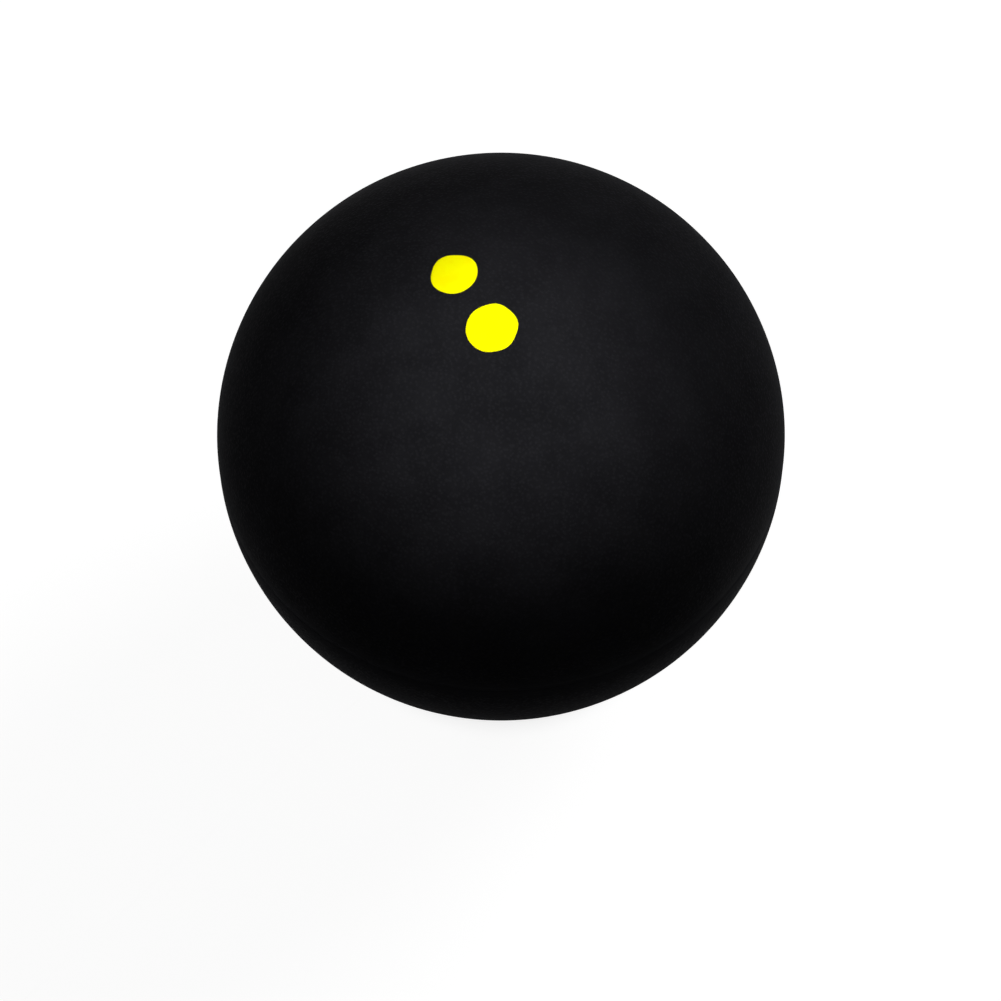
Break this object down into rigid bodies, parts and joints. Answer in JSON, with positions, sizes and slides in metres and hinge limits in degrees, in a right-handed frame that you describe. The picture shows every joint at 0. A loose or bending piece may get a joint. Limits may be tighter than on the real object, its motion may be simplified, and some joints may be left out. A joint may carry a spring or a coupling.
{
  "type": "squash ball",
  "caption": "Small hollow black rubber ball, moulded as half shells and bonded along the equator, with round yellow speed dots near one pole.",
  "frame": {"origin": "centre of the ball", "axes": "+Z through the pole of the half shell that carries the dots; the seam lies in the XY plane; -Y is the side that faces the viewer in the picture"},
  "size_m": [0.04, 0.04, 0.04],
  "materials": {
    "shell_rubber": "matte black butyl-rubber compound with a fine moulded pebble",
    "seam_cement": "cured rubber cement, buffed flush with the ball",
    "dot_paint": "printed yellow paint film, satin"
  },
  "bodies": {
    "root": {"upper_half_shell": "shell_rubber", "lower_half_shell": "shell_rubber", "seam_cement_ring": "seam_cement", "small_yellow_dot": "dot_paint", "large_yellow_dot": "dot_paint"}
  },
  "joints": []
}
